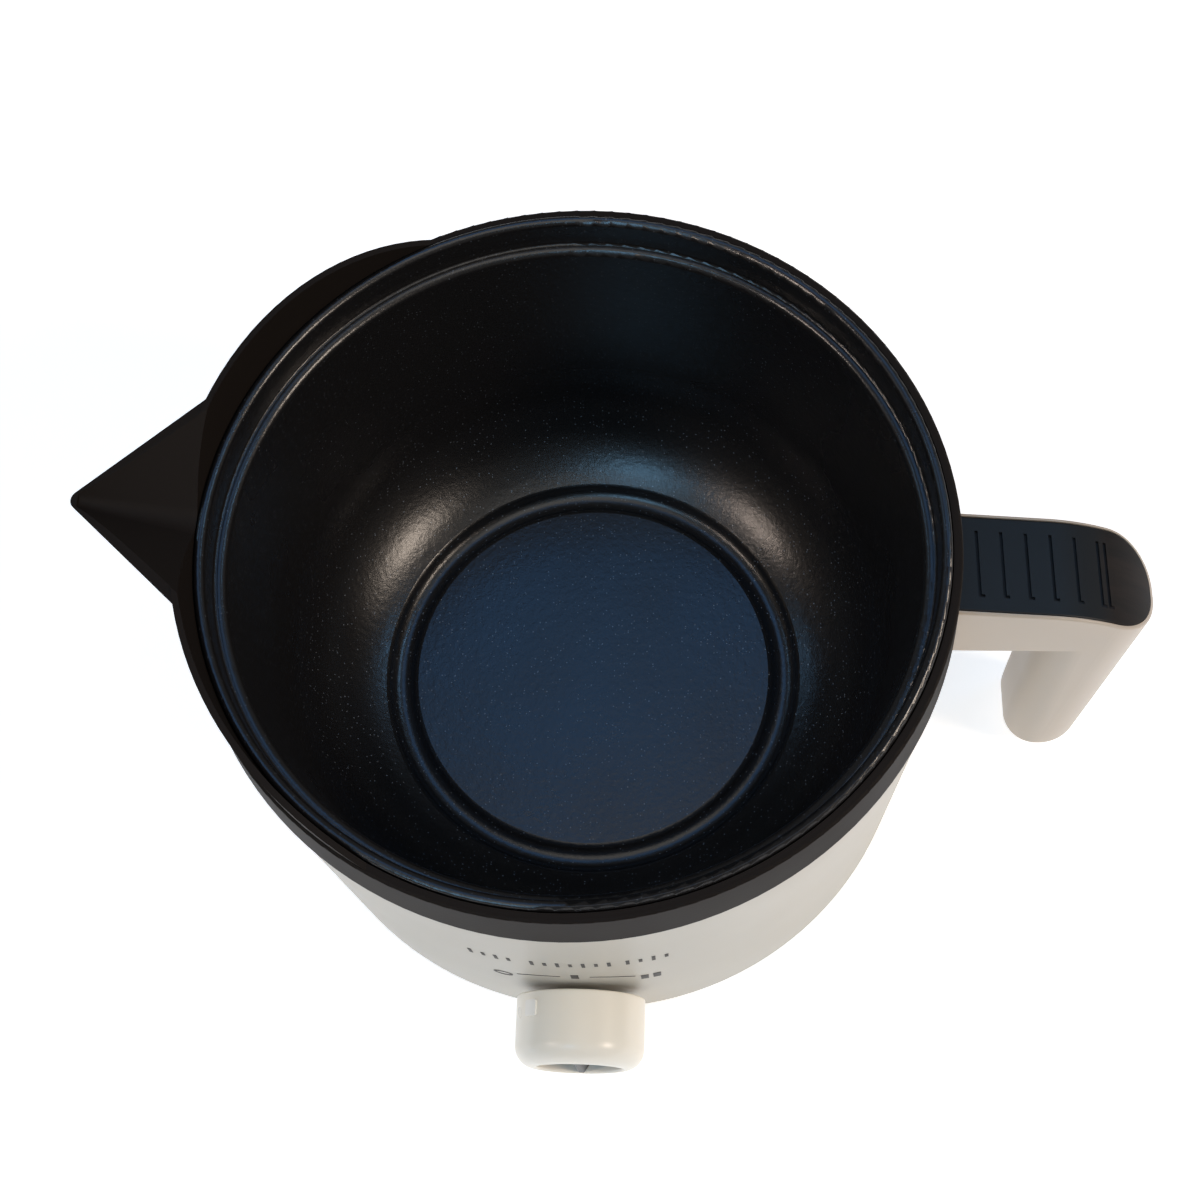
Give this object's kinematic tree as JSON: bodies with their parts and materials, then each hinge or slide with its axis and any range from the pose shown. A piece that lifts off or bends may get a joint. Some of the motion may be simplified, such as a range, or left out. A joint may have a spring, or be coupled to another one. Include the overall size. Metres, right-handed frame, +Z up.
{
  "type": "candle melting pot",
  "caption": "Electric melting pot: a coated bowl with a pouring spout in a round heated housing, with a side handle and a rotary heat switch.",
  "frame": {"origin": "on the floor under the feet, on the bowl's axis", "axes": "+X towards the handle, -X towards the spout, -Y towards the heat knob, +Z up"},
  "size_m": [0.2654, 0.2128, 0.1442],
  "materials": {
    "pot_coating": "satin black non-stick coating on aluminium",
    "seal": "matt",
    "collar_black": "matt",
    "housing_white": "smooth satin",
    "handle_white": "smooth satin",
    "grip_black": "satin",
    "knob_white": "satin gloss",
    "marker_white": "satin gloss",
    "print_black": "printed",
    "base_black": "matt",
    "feet": "matt",
    "switch_black": "matt",
    "terminal_plastic": "matt",
    "sleeve": "matt",
    "steel": "satin",
    "element_steel": "oxidised",
    "shield_steel": "bright",
    "plate_alu": "machined",
    "brass_tab": "satin",
    "lead_brown": "smooth",
    "lead_red": "smooth",
    "lead_blue": "smooth",
    "lead_green": "smooth"
  },
  "bodies": {
    "body": {"inner_pot": "pot_coating", "rim_gasket": "seal", "spout_collar": "collar_black", "outer_housing": "housing_white", "base_cover": "base_black", "rubber_feet": "feet", "base_screws": "steel", "handle_shell": "handle_white", "handle_grip": "grip_black", "handle_bracket": "steel", "handle_screws": "steel", "switch_body": "switch_black", "switch_nut": "steel", "switch_tabs": "brass_tab", "dial_marks": "print_black", "front_ticks": "print_black", "heat_plate": "plate_alu", "heating_element": "element_steel", "element_pins": "steel", "pot_studs": "steel", "stud_nuts": "steel", "heat_shield": "shield_steel", "thermal_cutoff": "steel", "cutoff_tabs": "brass_tab", "cutoff_bracket": "steel", "cutoff_screws": "steel", "terminal_block": "terminal_plastic", "terminal_screws": "brass_tab", "thermal_fuse": "plate_alu", "fuse_sleeve": "sleeve", "live_lead": "lead_brown", "switched_lead": "lead_red", "neutral_lead": "lead_blue", "earth_lead": "lead_green", "earth_tab": "brass_tab", "cord_gland": "base_black"},
    "knob": {"knob_cap": "knob_white", "knob_insert": "grip_black", "knob_marker": "marker_white", "switch_shaft": "steel"}
  },
  "joints": [
    {"name": "knob_turn", "type": "hinge", "parent": "body", "child": "knob", "pos_m": [0, -0.105, 0.035], "axis": [0, 1, 0], "range_deg": [0, 90]}
  ]
}
